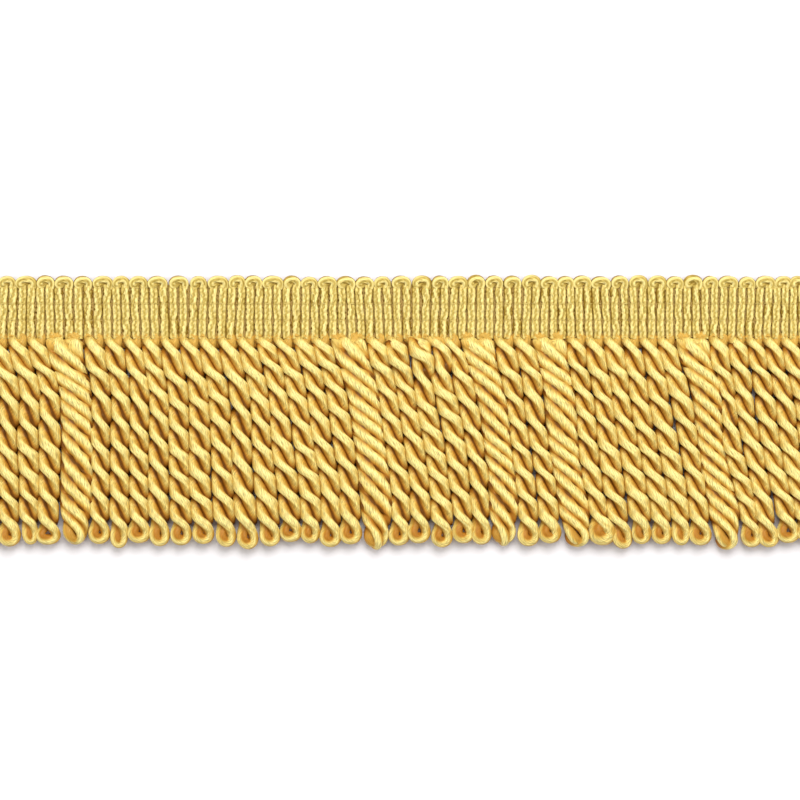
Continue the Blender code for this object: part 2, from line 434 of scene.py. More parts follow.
# Painted shade in the notch where each binding row presses a rib in.
PINCH_SHADE = 0.26
SIDE_WAVE = 0.00005
BEAD_LENGTH = 0.0012
BEAD_WINDING = 0.18
BEAD_GROOVE = 0.12
WINDING_SPREAD = 0.12
DRIFT = 0.32
DRIFT_KNOTS = 7
THINNING_START = 0.0122
THINNING_LENGTH = 0.0006
THINNING = 0.45
LEAN = 0.00034
LEAN_LENGTH = 0.060
LEAN_START = 1.0
LEAN_RIPPLE = 0.6
LEAN_RIPPLE_RATE = 2.3
YARN_LIFT = 0.00015
YARN_SEED = 7
chance = np.random.default_rng(YARN_SEED)


def pinched(y):
    """Share by which the binding threads press a yarn in: a bell at each thread's row."""
    rows = np.asarray(BINDING_ROWS)[None, :]
    return np.exp(-(((y[:, None] - rows) / PINCH_LENGTH) ** 2)).max(axis=1)


def lean(x):
    """How far the heading's top has slid sideways at x: slow waves along the trim."""
    along = (x - heading_low.x) / LEAN_LENGTH
    ripple = LEAN_RIPPLE * np.sin(2 * np.pi * LEAN_RIPPLE_RATE * along)
    return LEAN * (np.sin(2 * np.pi * along + LEAN_START) + ripple)


def rib(x, width):
    """A straight yarn with waves: x + wave * sin(2 pi y / pitch), pressed in at each binding row.

    Its plies rock to and fro in short beads, and drift a little further by chance.
    """
    y = np.arange(RIB_BOTTOM, RIB_TOP, RIB_STEP)
    start = chance.uniform(0, 2 * np.pi)
    wave = np.sin(2 * np.pi * y / BINDING_PITCH + start)
    press = pinched(y)
    size = width / (NOMINAL_SLOT_WIDTH / 2)
    thinning = THINNING * smooth((y - THINNING_START) / THINNING_LENGTH)
    thick = RIB_HALF_THICK * (1 - PINCH * press - thinning)
    across = x + SIDE_WAVE * wave + lean(x) * smooth(y / RIB_TOP)
    path = np.stack([across, heading_low.y + y, YARN_LIFT + thick], axis=1)
    knots = np.linspace(RIB_BOTTOM, RIB_TOP, DRIFT_KNOTS)
    drift = between(knots, chance.normal(0, DRIFT, DRIFT_KNOTS), y)
    bead = np.sin(2 * np.pi * y / BEAD_LENGTH + start)
    winding = np.pi / RIB_PLIES + chance.normal(0, WINDING_SPREAD) + drift + BEAD_WINDING * bead
    groove = chance.uniform(*RIB_GROOVE) + BEAD_GROOVE * bead
    wide = RIB_HALF_WIDTH * size * (1 - PINCH * press)
    # Painted shade: the rib's sides darken from cos = RIB_LIT to cos = RIB_DARK.
    return carry(
        path, upward(len(y)), thick, wide, RIB_PLIES, groove, winding, RIB_RING,
        lit=RIB_LIT, dark=RIB_DARK, root=PINCH_SHADE * press,
    )


ribs = []
for slot in range(SLOT_COUNT):
    left = slot_edge(slot)
    width = (slot_edge(slot + 1) - left) / 2
    ribs += [rib(left + width / 2, width), rib(left + width * 3 / 2, width)]
heading_ribs = new_piece("heading_ribs", ribs, heading_satin_and_shade, "heading_yarn", "heading")
print("heading ribs", len(ribs), "faces", len(heading_ribs.data.polygons))

# %% [markdown]
# The loops of the top edge.
# At the top the yarn turns over and starts down the next rib. It is squeezed as it turns, and its left
# end curls under, which leaves a small dark hole. Each loop is a smooth curve through a few listed
# points, and small seeded changes keep the row from looking stamped.

# %% Heading loops
LOOP_POINTS = (
    # across, above the heading's lower edge, up from the ground; millimetres, from the loop's middle
    (1.15, 11.80, 0.80),
    (1.38, 12.75, 1.10),
    (1.22, 13.45, 1.20),
    (0.62, 13.92, 1.25),
    (-0.20, 14.05, 1.25),
    (-0.98, 13.80, 1.25),
    (-1.42, 13.20, 1.25),
    (-1.22, 12.60, 1.20),
    (-0.66, 12.52, 1.10),
    (-0.22, 12.90, 0.95),
    (0.24, 13.04, 0.85),
    (0.70, 12.98, 0.72),
)
LOOP_HALF_THICK = 0.00092
LOOP_HALF_WIDE = 0.00098
LOOP_WIDTH_SHARE = (0.98, 1.08)
LOOP_JITTER = 0.00032
LOOP_HEIGHT_SPREAD = 0.00009
LOOP_CROWN = 0.0125
LOOP_RINGS = 38
LOOP_RING = 16
LOOP_GROOVE = 0.28
LOOP_WINDING_SPREAD = 0.25
LOOP_WINDING_SWING = 0.3
LOOP_LIT = 0.7
LOOP_DARK = -0.1
TAIL_START = 6.8
TAIL_LENGTH = 2.2
TAIL_THINNER = 0.25
TAIL_NARROWER = 0.3
TAIL_SHADE = 0.55
MILLIMETRE = 0.001


def edge_loop(x, width):
    """A hook-shaped yarn through LOOP_POINTS, seen from above. Its sides get painted shade, and so does
    its tail, which thins.
    """
    shape = np.array(LOOP_POINTS) * MILLIMETRE
    shape[:, 0] *= width / NOMINAL_SLOT_WIDTH * chance.uniform(*LOOP_WIDTH_SHARE)
    in_crown = smooth((shape[:, 1] - LOOP_CROWN) / MILLIMETRE)
    shape[:, 1] += chance.normal(0, LOOP_HEIGHT_SPREAD) * in_crown
    knots = np.arange(len(shape))
    at = np.linspace(0, len(shape) - 1, LOOP_RINGS)
    path = np.stack([between(knots, shape[:, axis], at) for axis in range(3)], axis=1)
    path += [x + lean(x), heading_low.y, YARN_LIFT]
    tail = smooth((at - TAIL_START) / TAIL_LENGTH)
    thick = LOOP_HALF_THICK * (1 - TAIL_THINNER * tail)
    wide = LOOP_HALF_WIDE * (1 - TAIL_NARROWER * tail)
    winding = np.pi / RIB_PLIES + chance.normal(0, LOOP_WINDING_SPREAD) + LOOP_WINDING_SWING * np.sin(at)
    return carry(
        path, upward(len(at)), thick, wide, RIB_PLIES, LOOP_GROOVE, winding, LOOP_RING,
        lit=LOOP_LIT, dark=LOOP_DARK, root=TAIL_SHADE * tail,
    )


meets = []
for slot in range(SLOT_COUNT):
    middle = (slot_edge(slot) + slot_edge(slot + 1)) / 2
    meets.append(middle + chance.normal(0, LOOP_JITTER))
loops = []
for left, right in zip(meets[:-1], meets[1:]):
    loops.append(edge_loop((left + right) / 2, right - left))
heading_loops = new_piece("heading_loops", loops, heading_satin_and_shade, "heading_yarn", "heading")
print("loops", len(loops), "faces", len(heading_loops.data.polygons))

# %% [markdown]
# The binding threads.
# Four thin threads run the length of the heading. Each climbs over a rib in its notch and dips between
# two ribs, so from above it is a row of small pale stitches.

# %% Binding threads
THREAD_RADIUS = 0.00008
THREAD_STEPS_PER_RIB = 8
THREAD_LOW = 0.0009
THREAD_SUNK = 0.0001
THREAD_SWAY = 0.0001
THREAD_SWAY_RATE = 1.7
THREAD_CREST = 0.7
THREAD_PLIES = 2
THREAD_GROOVE = 0.2
THREAD_TWIST = 2.0
THREAD_RING = 8
THREAD_SHADE = 0.8


def binding_thread(row):
    """A thread along the heading: its height follows |sin| over each rib's pressed-in back."""
    count = SLOT_COUNT * 2 * THREAD_STEPS_PER_RIB + 1
    rib_number = np.linspace(0, SLOT_COUNT * 2, count)
    slots = np.arange(SLOT_COUNT + 1)
    x = np.interp(rib_number / 2, slots, [slot_edge(slot) for slot in slots])
    over = np.abs(np.sin(np.pi * rib_number)) ** THREAD_CREST
    top = YARN_LIFT + 2 * RIB_HALF_THICK * (1 - PINCH) - THREAD_SUNK
    z = mix(THREAD_LOW, top, over)
    y = heading_low.y + row + THREAD_SWAY * np.sin(rib_number * THREAD_SWAY_RATE)
    path = np.stack([x, y, z], axis=1)
    # Painted shade where the thread dips between two ribs.
    return carry(
        path, upward(count), THREAD_RADIUS, THREAD_RADIUS, THREAD_PLIES, THREAD_GROOVE,
        rib_number * THREAD_TWIST, THREAD_RING, root=THREAD_SHADE * (1 - over),
    )


threads = [binding_thread(row) for row in BINDING_ROWS]
binding_threads = new_piece("binding_threads", threads, thread_satin_and_shade, "heading_yarn", "heading")
print("binding threads", len(BINDING_ROWS), "faces", len(binding_threads.data.polygons))

# %% [markdown]
# The ground of the heading.
# Behind the ribs the trim has a woven ground that is sewn or glued to the furniture. It lies flat on
# the surface. The ribs sink into it, and it closes the narrow gaps between them from behind.

# %% Heading ground
GROUND_TOP = 0.0128
GROUND_INSET = 0.0002
GROUND_HEIGHT = 0.0013
GROUND_GRID = (240, 16)
WEAVE_SCALE = 2500.0
# The checker is the ground's weave; its browns, darker than the yarn's gold, are also painted shade for
# the narrow gaps between the ribs.
WEAVE_LIGHT = (0.50, 0.33, 0.09, 1.0)
WEAVE_DARK = (0.42, 0.26, 0.06, 1.0)
WEAVE_ROUGHNESS = 0.75


def heading_ground():
    """A flat closed band: x and y on an even grid, the top at one height and the underside at 0."""
    across, up = GROUND_GRID
    x = np.linspace(heading_low.x, heading_high.x, across)
    y = np.linspace(heading_low.y + GROUND_INSET, heading_low.y + GROUND_TOP, up)
    top = np.stack([*np.meshgrid(x, y), np.full((up, across), GROUND_HEIGHT)], axis=-1).reshape(-1, 3)
    under = top * [1, 1, 0]
    row = np.arange(up - 1)[:, None] * across
    col = np.arange(across - 1)[None, :]
    low = (row + col).ravel()
    faces = np.stack([low, low + 1, low + across + 1, low + across], axis=-1)
    rim = np.concatenate(
        [
            np.arange(across),
            np.arange(1, up) * across + across - 1,
            (up - 1) * across + np.arange(across - 2, -1, -1),
            np.arange(up - 2, 0, -1) * across,
        ]
    )
    following = np.roll(rim, -1)
    count = len(top)
    walls = np.stack([rim + count, following + count, following, rim], axis=-1)
    quads = np.concatenate([faces, faces[:, ::-1] + count, walls])
    mesh = bpy.data.meshes.new("heading_ground")
    mesh.from_pydata(np.concatenate([top, under]), [], quads.tolist())
    mesh.update()
    piece = bpy.data.objects.new("heading_ground", mesh)
    bpy.context.scene.collection.objects.link(piece)
    return piece


def woven_ground():
    """A fine checker on Object coordinates: threads over and under each other."""
    material = bpy.data.materials.new("woven ground")
    material.use_nodes = True
    nodes = material.node_tree.nodes
    links = material.node_tree.links
    shader = nodes["Principled BSDF"]
    shader.inputs["Roughness"].default_value = WEAVE_ROUGHNESS
    place = nodes.new("ShaderNodeTexCoord")
    weave = nodes.new("ShaderNodeTexChecker")
    weave.inputs["Scale"].default_value = WEAVE_SCALE
    weave.inputs["Color1"].default_value = WEAVE_LIGHT
    weave.inputs["Color2"].default_value = WEAVE_DARK
    links.new(place.outputs["Object"], weave.inputs["Vector"])
    links.new(weave.outputs["Color"], shader.inputs["Base Color"])
    return material


ground = heading_ground()
ground.data.materials.append(woven_ground())
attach(ground, "root")
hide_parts("heading")
print("ground band faces", len(ground.data.polygons))

# %% [markdown]
# How the cords hang.
# The same yarn leaves the heading, two strands to a slot, and the strands are twisted round each other
# to the left. The cords lie a little to the right of where they start, more so towards the right end
# and towards the tips. The table gives that for a few slots and depths, and the curve fills the rest.

# %% Where a cord lies
DEPTHS = (0.0, 0.10, 0.25, 0.50, 0.75, 1.0)
HANG = (
    # slot, neck, quarter, half, three quarters, tip; millimetres to the right
    (2.0, 1.0, 3.0, 2.6, 2.9, 3.0),
    (4.5, 0.8, 2.9, 2.9, 3.0, 2.5),
    (7.0, 1.5, 2.9, 2.8, 2.5, 2.5),
    (10.0, 1.2, 2.9, 2.9, 3.1, 3.6),
    (13.0, 1.4, 3.2, 4.0, 4.8, 6.0),
    (16.0, 1.3, 3.1, 4.8, 6.4, 6.9),
    (19.5, 1.4, 3.7, 5.3, 6.7, 6.9),
    (22.0, 1.3, 3.1, 4.9, 6.6, 6.4),
    (24.0, 1.2, 3.1, 5.7, 7.4, 7.9),
    (26.5, 1.4, 3.1, 5.3, 6.5, 6.5),
    (29.0, 1.0, 2.5, 4.1, 5.8, 6.9),
    (33.0, 0.7, 2.2, 3.6, 5.5, 7.6),
    (36.0, 1.0, 2.2, 4.5, 6.9, 7.6),
    (38.5, 0.7, 3.3, 4.5, 7.1, 8.8),
    (41.0, 1.0, 2.6, 3.8, 6.6, 8.8),
    (45.0, 1.2, 3.3, 5.3, 7.9, 10.0),
)


def stray(slot, depth, drop):
    """Millimetre table read twice: across the slots, then down the cord."""
    table = np.array(HANG)
    column = [0.0] + [float(between(table[:, 0], table[:, c], slot)) for c in range(1, len(DEPTHS))]
    return between(DEPTHS, column, depth / drop) * MILLIMETRE


print("the middle cord's tip lies", round(float(stray(22, 0.05, 0.05)), 4), "to the right")

# %% [markdown]
# How a cord turns.
# Two strands cross in front at every half turn, and between two crossings lies a small dark eye. The
# cords aren't twisted equally, and a neighbour's eyes lie higher or lower. The first four eyes of each
# cord are placed by a table, and the rest follow at even steps down to the eye in the tip.

# %% How a cord turns
FIRST_CROSSING = 0.0049
HALF_TURN = 0.00604
ROOT_TURN = -0.80
ABOVE_ROOT = -0.002
ABOVE_ROOT_TURN = -1.05
TIP_EYE = 0.0034
EVEN = (0.0, 0.0, 0.0, 0.0)
EYES_LATE = {
    # slot: how far below its even place each of the first four eyes lies; millimetres
    1: (1.0, 0.5, 0.7, 1.2),
    2: (0.2, 0.5, 1.0, 1.0),
    3: (-0.2, -0.7, -1.0, 0.0),
    6: (0.5, -0.2, -0.2, 0.2),
    7: (0.0, 0.0, -0.2, 0.0),
    8: (0.7, 1.0, 1.7, 1.7),
    9: (-0.2, -1.0, -1.4, -1.7),
    10: (1.4, 2.1, 1.7, 1.7),
    11: (0.7, 1.7, 1.0, 1.2),
    12: (0.7, 0.7, 0.0, 0.0),
    13: (1.2, 2.4, 3.3, 3.6),
    14: (0.5, 0.5, 0.2, 0.2),
    15: (-1.2, -1.7, -1.4, -1.4),
    16: (0.7, 0.2, 0.2, 0.7),
    17: (-0.7, -1.2, -1.4, -1.2),
    18: (-0.7, -1.9, -2.1, -2.6),
    21: (-0.5, -1.0, -1.0, -1.0),
    22: (-1.0, -1.7, -2.4, -2.6),
    23: (-2.5, -4.6, -3.4, -3.9),
    24: (0.0, 0.0, -1.0, -1.7),
    25: (1.2, 1.0, 1.9, 2.4),
    28: (0.7, 0.5, 0.5, 0.5),
    29: (0.2, -0.2, 0.2, 1.0),
    32: (-0.5, -1.0, -1.2, -1.7),
    33: (0.7, 0.7, 0.2, 0.5),
    34: (0.2, -0.5, -0.5, 0.0),
    35: (1.2, 1.4, 1.7, 1.7),
    36: (1.2, 1.2, 1.2, 1.7),
    37: (0.0, 0.2, 0.2, 0.0),
    40: (0.2, 0.2, 0.5, 1.9),
    41: (-0.7, -0.7, -1.0, -1.0),
    42: (0.2, -0.2, 0.0, 0.0),
    43: (0.5, 0.5, 1.2, 1.2),
    44: (0.5, 0.5, 0.2, 0.0),
}


def eye_depths(slot, drop):
    """Depths of a cord's eyes: four from the table, then even steps to the open eye in its tip."""
    late = np.array(EYES_LATE.get(slot, EVEN)) * MILLIMETRE
    read = FIRST_CROSSING + HALF_TURN * np.arange(4) + late
    rest = drop - TIP_EYE - read[-1]
    steps = int(round(rest / HALF_TURN))
    return np.concatenate([read, read[-1] + rest / steps * np.arange(1, steps + 1)])


def half_turns(eyes, depth, hurry):
    """How many half turns below its first eye a cord is at each depth: a curve through its eyes.

    A knot above the heading's edge sets the curve's slope at the root. A strand hurries across the
    front of its cord and lingers at the sides, by a sine of the turn.
    """
    knots = np.concatenate([[ABOVE_ROOT, 0.0], eyes, [eyes[-1] + HALF_TURN]])
    values = np.concatenate([[ABOVE_ROOT_TURN, ROOT_TURN], np.arange(len(eyes) + 1)])
    turns = between(knots, values, depth)
    return turns - hurry / np.pi * np.sin(2 * np.pi * turns)


print("a cord's eyes, in metres down:", eye_depths(0, 0.05).round(4))

# %% [markdown]
# The row of cords.
# In five places two slots share one thick rope. It takes more room than one cord and less than two, so
# its neighbours close in. Each cord then wanders a little by itself, and is drawn as wide as the room
# that its neighbours leave it, because a row of soft cords has no even gaps: it fills itself.

# %% The row of cords
SKIRT_DROP = 0.0500
DROP_SPREAD = 0.0006
PHASE_SPREAD = 0.12
TURN_SPREAD = 0.025
SOLIDS_SEED = 11
DOUBLE_SLOTS = (4, 19, 26, 30, 38)
DOUBLE_WIDTH = 1.62
SETTLED_DEPTH = 0.008
HURRY = (-0.04, 0.10)
WANDER = 0.00018
WANDER_KNOTS = 7
SLACK = (0.1, 0.4)
SLACK_LENGTH = (0.016, 0.040)
ROOM_LIMITS = (0.85, 1.17)
LEAVING_LENGTH = 0.0016
# Millimetres that a cord is shoved to the right, just below the heading, where two cords crowd.
SHOVED = {23: 1.2, 24: 2.0, 25: 0.6}
SHOVED_FULL = 0.005
SHOVED_LENGTH = 0.005


def cord_list():
    """The solids' own cords, with the same small differences from the same seed."""
    solids_chance = random.Random(SOLIDS_SEED)
    cords = []
    slot = 0
    while slot < SLOT_COUNT:
        slots = 2 if slot in DOUBLE_SLOTS else 1
        drop = SKIRT_DROP + solids_chance.uniform(-DROP_SPREAD, DROP_SPREAD)
        # The solids draw a phase here. The eyes' places replace it, but the next draw has to agree.
        solids_chance.uniform(-PHASE_SPREAD, PHASE_SPREAD)
        cords.append(
            {
                "slot": slot,
                "double": slots == 2,
                "middle": slot + (slots - 1) / 2,
                "root": (slot_edge(slot) + slot_edge(slot + slots)) / 2,
                "fullness": (slot_edge(slot + slots) - slot_edge(slot)) / slots / NOMINAL_SLOT_WIDTH,
                "drop": drop,
                "turn": 1 + solids_chance.uniform(-TURN_SPREAD, TURN_SPREAD),
                "hurry": chance.uniform(*HURRY),
                "wander": np.concatenate([[0.0], chance.normal(0, WANDER, WANDER_KNOTS - 1)]),
                "slack": chance.uniform(*SLACK),
                "slack_length": chance.uniform(*SLACK_LENGTH),
                "slack_start": chance.uniform(0, 2 * np.pi),
            }
        )
        slot += slots
    return cords


def settle(cords):
    """Where the cords lie side by side: a double is narrower than two, so its neighbours close in.

    Widths are added up from left to right, and that measure is stretched between the doubles so that
    each double stays under its own slots.
    """
    widths = np.array([DOUBLE_WIDTH if cord["double"] else 1.0 for cord in cords])
    packed = np.cumsum(widths) - widths / 2
    roots = np.array([cord["root"] for cord in cords])
    fixed = [0] + [i for i, cord in enumerate(cords) if cord["double"]] + [len(cords) - 1]
    places = np.interp(packed, packed[fixed], roots[fixed])
    for cord, place in zip(cords, places):
        cord["settled"] = place - cord["root"]


def centre_line(cord, depth):
    """X of a cord's middle: its root, plus its stray, plus what settling or its neighbour moves it."""
    settled = cord["settled"] * smooth(depth / SETTLED_DEPTH)
    released = smooth((depth - SHOVED_FULL) / SHOVED_LENGTH)
    shoved = SHOVED.get(cord["slot"], 0.0) * MILLIMETRE * (1 - released) * smooth(depth / LEAVING_LENGTH)
    wander = between(np.linspace(0, cord["drop"], WANDER_KNOTS), cord["wander"], depth)
    return cord["root"] + stray(cord["middle"], depth, cord["drop"]) + settled + shoved + wander


def room(number, depth):
    """How much room a cord has between its neighbours at each depth: 1 is the nominal slot."""
    cord = cords[number]
    own = DOUBLE_WIDTH if cord["double"] else 1.0
    shares = []
    for other in (number - 1, number + 1):
        if 0 <= other < len(cords):
            beside = DOUBLE_WIDTH if cords[other]["double"] else 1.0
            apart = np.abs(centre_line(cords[other], depth) - centre_line(cord, depth))
            shares.append(2 * apart / (own + beside) / NOMINAL_SLOT_WIDTH)
    return np.clip(np.mean(shares, axis=0), *ROOM_LIMITS)


cords = cord_list()
settle(cords)
print("cords", len(cords), "of them double", sum(cord["double"] for cord in cords))

# %% [markdown]
# A single cord.
# Two strands follow one helix, half a turn apart. Round strands would meet along a straight deep line.
# Real ones are soft: they press each other flat on the inside and bulge outside, and where they meet,
# the line stands nearly as high as the strands. So the section here is an egg with a very deep inner
# half and a thin outer one, and each strand runs far out. Their meeting line then slants as in the
# photo, between two bright rims. How dark each part of the section is changes as the strand turns from
# the cord's side to its front, so there are two rows of shades, for the side and for the front.

# %% Strands of a cord
STRAND_ORBIT = 0.00174
STRAND_HALF_THICK = 0.00068
STRAND_HALF_WIDE = 0.00099
STRAND_CORE = 0.00280
STRAND_STEP = 0.00045
STRAND_RING = (0, 20, 40, 58, 68, 78, 95, 106, 113, 120, 128, 138, 158, 180)
# Painted shade by degrees from outward. For a strand at its cord's side: dark at its outline, a thin line
# at 68 degrees, and dark in the eye towards its partner. For a strand in front: darker towards its flanks.
STRAND_SHADE = (
    (0, 20, 40, 58, 68, 78, 95, 106, 113, 120, 128, 180),
    (0.80, 0.66, 0.24, 0.06, 0.20, 0.04, 0.26, 0.60, 0.90, 1.0, 1.0, 1.0),
    (0, 0.0, 0.04, 0.20, 0.42, 0.60, 0.74, 0.82, 0.88, 0.90, 0.92, 0.92),
)
ROOT_HIDDEN = 0.0010
ROOT_HEIGHT = 0.00085
RISING_LENGTH = 0.0026
OPENING_LENGTH = 0.0022
# Painted shade where the strands come out from under the heading: how strong, and where it fades.
ROOT_SHADE = 0.50
ROOT_SHADE_FULL = 0.0004
FRONT_SHADE_LENGTH = 0.0012
BACK_SHADE_LENGTH = 0.0032


def strand_path(cord, depth, twist, orbit_x, orbit_z, height, rib_x, squash=1.0):
    """Helix: sideways orbit * sin(twist), up orbit * cos(twist), and down the cord by depth.

    Squash is how many times wider than high the cord is, and outward is then the ellipse's normal.
    Near the heading the sideways place goes over smoothly from the strand's own rib to the helix.
    """
    leaving = smooth((depth + ROOT_HIDDEN) / LEAVING_LENGTH)
    swing = rib_x * (1 - leaving) + orbit_x * np.sin(twist) * leaving
    x = centre_line(cord, depth) + swing
    path = np.stack([x, heading_low.y - depth, height + orbit_z * np.cos(twist)], axis=1)
    outward = np.stack([np.sin(twist) / squash, np.zeros_like(twist), np.cos(twist)], axis=1)
    return path, unit(outward)


def root_shade(depth, length):
    """Painted shade, orange where the strand comes out from under the heading, gone a little below it."""
    return ROOT_SHADE * (1 - smooth((depth - ROOT_SHADE_FULL) / length))


print("a strand's inner half is", round(STRAND_CORE / STRAND_HALF_THICK, 1), "times as deep as the outer")

# %% [markdown]
# The tip.
# The cord is one yarn, doubled and twisted, so at the tip it turns in a small loop and climbs back. A
# cord is therefore one long path, down, round and up. The loop is a cubic curve that leaves the first
# strand in its own direction and meets the second in its own. The tips differ more than anything else
# on the trim. A few that stand out in the photo have sizes of their own, and the rest vary by chance.

# %% Loops at the tips
TIP_ORBIT = 0.00136
TIP_ORBIT_SPREAD = 0.00022
TIP_HALF_THICK = 0.00106
TIP_HALF_WIDE = 0.00108
TIP_CORE_SHARE = 1.62
TIP_LENGTH = 0.0030
# How much painted shade a tip's loop keeps, and how much a cord loses towards its tip.
TIP_FLANK = 0.8
TIP_FLANK_LOSS = 0.2
TIP_FLATTER = 0.5
TIP_TOP_LOSS = 0.4
LOOP_STEPS = 18
TIP_SHAPES = {
    # slot: half the loop's width, half the yarn's thickness, and how much lower than usual; millimetres
    1: (1.40, 1.10, 0.0),
    2: (1.00, 0.95, -0.2),
    3: (1.80, 1.00, 0.1),
    7: (1.15, 1.00, 0.2),
    8: (1.50, 1.10, 0.1),
    9: (1.20, 1.10, 0.4),
    28: (1.50, 1.10, 0.0),
    29: (1.35, 1.15, 0.3),
    32: (1.75, 1.70, 0.9),
    33: (1.45, 1.05, 0.5),
    36: (1.20, 1.05, 0.0),
    42: (1.60, 1.05, 0.2),
}


def round_tip(down, out_down, up, out_up, reach):
    """Cubic Hermite turn from the end of one strand to the end of the other.

    With tangents of length m that point down, such a curve reaches m / 4 below its ends.
    """
    t = np.linspace(0, 1, LOOP_STEPS + 2)[1:-1, None]
    leave = unit(down[-1] - down[-2]) * reach * 4
    arrive = -unit(up[-1] - up[-2]) * reach * 4
    path = hermite(t, down[-1], leave, up[-1], arrive)
    outward = np.cos(np.pi * t) * out_down[-1] + np.sin(np.pi * t) * np.array([0.0, -1.0, 0.0])
    return (
        np.concatenate([down, path, up[::-1]]),
        np.concatenate([out_down, outward, out_up[::-1]]),
    )


def there_and_back(down, tip, up=None):
    """A value down one strand, through the loop, and back up the other strand."""
    return np.concatenate([down, np.full(LOOP_STEPS, tip), (down if up is None else up)[::-1]])


print("tips with sizes of their own", len(TIP_SHAPES))

# %% [markdown]
# All of it together gives one closed tube for each cord. Where a strand passes underneath, the weight
# of the cord presses it wide, and it fills the gap to the next cord. Lying low, it gets painted shade
# there.

# %% Single cords
FLATTENED = 0.92
SIDE_WIDE = 0.34
PRESSED_WIDE = 1.05
PLUMP_SPREAD = 0.07
PLUMP_KNOTS = 16
CORD_PLIES = 7
CORD_GROOVE = 0.05
TIP_GROOVE = 0.11
CORD_SPIN = -0.9
CORD_WINDING = (-3.0, 3.0)
LAST_EYE_ROOM = (0.0002, 0.0012)
OVERREACH = (1.0, 1.12)


def single_cord(number, cord):
    """One yarn: strands at twist and twist + half a turn, joined at the tip by a loop."""
    eyes = eye_depths(cord["slot"], cord["drop"])
    last = eyes[-1] - chance.uniform(*LAST_EYE_ROOM)
    depth = np.arange(-ROOT_HIDDEN, last, STRAND_STEP)
    full = room(number, depth)
    opened = smooth(depth / OPENING_LENGTH)
    rising = smooth(depth / RISING_LENGTH)
    to_tip = smooth((depth - last + TIP_LENGTH) / TIP_LENGTH)

    tip_orbit = chance.uniform(TIP_ORBIT - TIP_ORBIT_SPREAD, TIP_ORBIT + TIP_ORBIT_SPREAD)
    tip_thick = TIP_HALF_THICK
    lower = 0.0
    if cord["slot"] in TIP_SHAPES:
        tip_orbit, tip_thick, lower = np.array(TIP_SHAPES[cord["slot"]]) * MILLIMETRE
    tip_wide = TIP_HALF_WIDE * tip_thick / TIP_HALF_THICK

    orbit = mix(STRAND_ORBIT, tip_orbit, to_tip) * full
    orbit_up = orbit * FLATTENED * rising * (1 - TIP_FLATTER * to_tip)
    height = (STRAND_ORBIT * FLATTENED + STRAND_HALF_THICK) * full
    risen = mix(ROOT_HEIGHT, height, rising)
    twist = np.pi / 2 + np.pi * half_turns(eyes, depth, cord["hurry"])
    rib_x = NOMINAL_SLOT_WIDTH * cord["fullness"] / 4
    down, out_down = strand_path(cord, depth, twist, orbit, orbit_up, risen, -rib_x)
    up, out_up = strand_path(cord, depth, twist + np.pi, orbit, orbit_up, risen, rib_x)
    reach = (cord["drop"] - last - tip_thick + lower) * chance.uniform(*OVERREACH)
    path, outward = round_tip(down, out_down, up, out_up, reach)

    wide = mix(mix(RIB_HALF_WIDTH, STRAND_HALF_WIDE * full, opened), tip_wide, to_tip)
    thick = mix(mix(RIB_HALF_THICK, STRAND_HALF_THICK * full, opened), tip_thick, to_tip)
    core = RIB_HALF_THICK + (STRAND_CORE - RIB_HALF_THICK) * opened * full
    core = mix(core, tip_thick * TIP_CORE_SHARE, to_tip)
    free = opened * (1 - to_tip)
    sides = 1 + SIDE_WIDE * np.sin(twist) ** 2 * free
    pressed_down = sides + PRESSED_WIDE * np.clip(-np.cos(twist), 0, 1) * free
    pressed_up = sides + PRESSED_WIDE * np.clip(np.cos(twist), 0, 1) * free
    knots = np.linspace(0, len(path), PLUMP_KNOTS)
    plump = between(knots, 1 + chance.normal(0, PLUMP_SPREAD, PLUMP_KNOTS), np.arange(len(path)))
    path[:, 2] = np.maximum(path[:, 2], there_and_back(tip_wide * to_tip, tip_wide))

    top = 2 * risen * (1 - TIP_TOP_LOSS * to_tip)
    winding = np.linspace(0, chance.uniform(*CORD_WINDING), len(path)) + chance.uniform(0, 2 * np.pi)
    return carry(
        path, outward, there_and_back(thick, thick[-1]),
        there_and_back(wide * pressed_down, tip_wide, wide * pressed_up) * plump,
        CORD_PLIES, there_and_back(mix(CORD_GROOVE, TIP_GROOVE, to_tip), TIP_GROOVE), winding,
        STRAND_RING, inner=there_and_back(core, core[-1]), shade=STRAND_SHADE,
        front=there_and_back(np.abs(np.cos(twist)), 0.0),
        flank=there_and_back(opened * (1 - TIP_FLANK_LOSS * to_tip), TIP_FLANK),
        root=there_and_back(
            root_shade(depth, FRONT_SHADE_LENGTH), 0.0, root_shade(depth, BACK_SHADE_LENGTH)
        ),
        top=there_and_back(top, top[-1]), spin=CORD_SPIN,
    )


for number, cord in enumerate(cords):
    if not cord["double"]:
        yarns = [single_cord(number, cord)]
        new_piece(f"cord_{number + 1:02d}", yarns, cord_satin_and_shade, "cord_yarn", "cord_skirt")
print("single cords", sum(not cord["double"] for cord in cords))

# %% [markdown]
# The double cords.
# Here and there the machine has twisted the four strands of two neighbouring slots together. The rope
# is wide and flat. Its four strands lie side by side in slanting bands that swell where they cross the
# rope's shoulders, and it ends in two small loops, one a little above the other.

